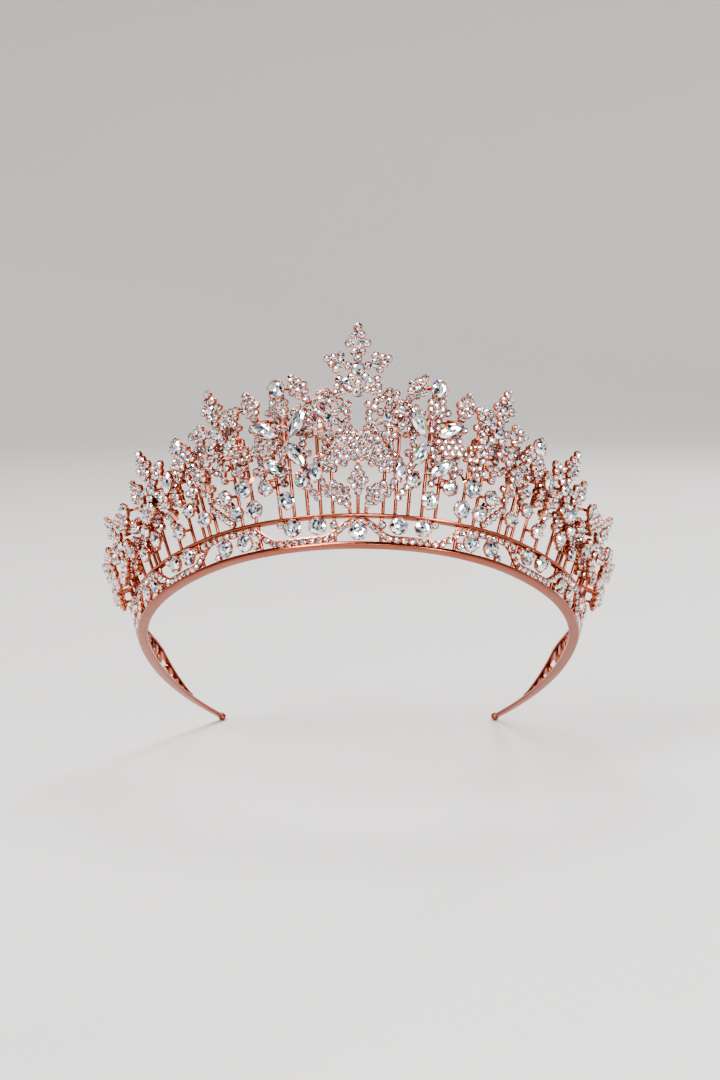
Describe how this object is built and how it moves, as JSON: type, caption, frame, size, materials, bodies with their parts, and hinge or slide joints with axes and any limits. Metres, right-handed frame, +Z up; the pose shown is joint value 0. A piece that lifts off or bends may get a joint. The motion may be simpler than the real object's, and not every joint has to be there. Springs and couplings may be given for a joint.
{
  "type": "bridal tiara",
  "caption": "Horseshoe headband with a jewelled gallery between its rails and an ornament of snowflakes, leaves and crystals",
  "frame": {"origin": "middle of the wearer's head in the plane of the band's underside: the centre of the temple arcs, midway between the arms", "axes": "+Z up and +X to the viewer's right as worn, +Y from the brow towards the nape; the band drops 31.7 degrees from brow to nape, so the tips are lowest"},
  "size_m": [0.1822, 0.1552, 0.1612],
  "materials": {
    "band_metal": "polished rose-gold plating on the rails",
    "rose_metal": "polished rose-gold plating on cups, plates and wires",
    "crystal": "clear faceted glass with a silvered back"
  },
  "bodies": {
    "root": {"lower_rail": "band_metal", "upper_rail": "band_metal", "tip_balls": "band_metal", "gallery_posts": "rose_metal", "gallery_cups": "rose_metal", "gallery_stones": "crystal", "wave_strip": "rose_metal", "wave_stones": "crystal", "accent_cups": "rose_metal", "accent_stones": "crystal", "ornament_posts": "rose_metal", "sprig_frames_left": "rose_metal", "sprig_stones_left": "crystal", "sprig_frames_right": "rose_metal", "sprig_stones_right": "crystal", "snowflake_frame_centre": "rose_metal", "snowflake_stones_centre": "crystal", "snowflake_frames_inner": "rose_metal", "snowflake_stones_inner": "crystal", "snowflake_frame_left_1": "rose_metal", "snowflake_stones_left_1": "crystal", "snowflake_frame_right_1": "rose_metal", "snowflake_stones_right_1": "crystal", "snowflake_frame_left_2": "rose_metal", "snowflake_stones_left_2": "crystal", "snowflake_frame_right_2": "rose_metal", "snowflake_stones_right_2": "crystal", "snowflake_frame_left_3": "rose_metal", "snowflake_stones_left_3": "crystal", "snowflake_frame_right_3": "rose_metal", "snowflake_stones_right_3": "crystal", "snowflake_frame_left_4": "rose_metal", "snowflake_stones_left_4": "crystal", "snowflake_frame_right_4": "rose_metal", "snowflake_stones_right_4": "crystal", "stem_wires_left": "rose_metal", "stem_cups_left": "rose_metal", "stem_crystals_left": "crystal", "stem_wires_right": "rose_metal", "stem_cups_right": "rose_metal", "stem_crystals_right": "crystal", "cluster_cups_left": "rose_metal", "cluster_stones_left": "crystal", "cluster_cups_right": "rose_metal", "cluster_stones_right": "crystal", "navette_cups_left": "rose_metal", "navette_stones_left": "crystal", "navette_cups_right": "rose_metal", "navette_stones_right": "crystal", "leaf_frames_left": "rose_metal", "leaf_stones_left": "crystal", "leaf_frames_right": "rose_metal", "leaf_stones_right": "crystal", "stone_drops_left": "rose_metal", "drop_stones_left": "crystal", "stone_drops_right": "rose_metal", "drop_stones_right": "crystal", "bow_frame": "rose_metal", "bow_stones": "crystal", "ribbon_loops": "rose_metal"}
  },
  "joints": []
}
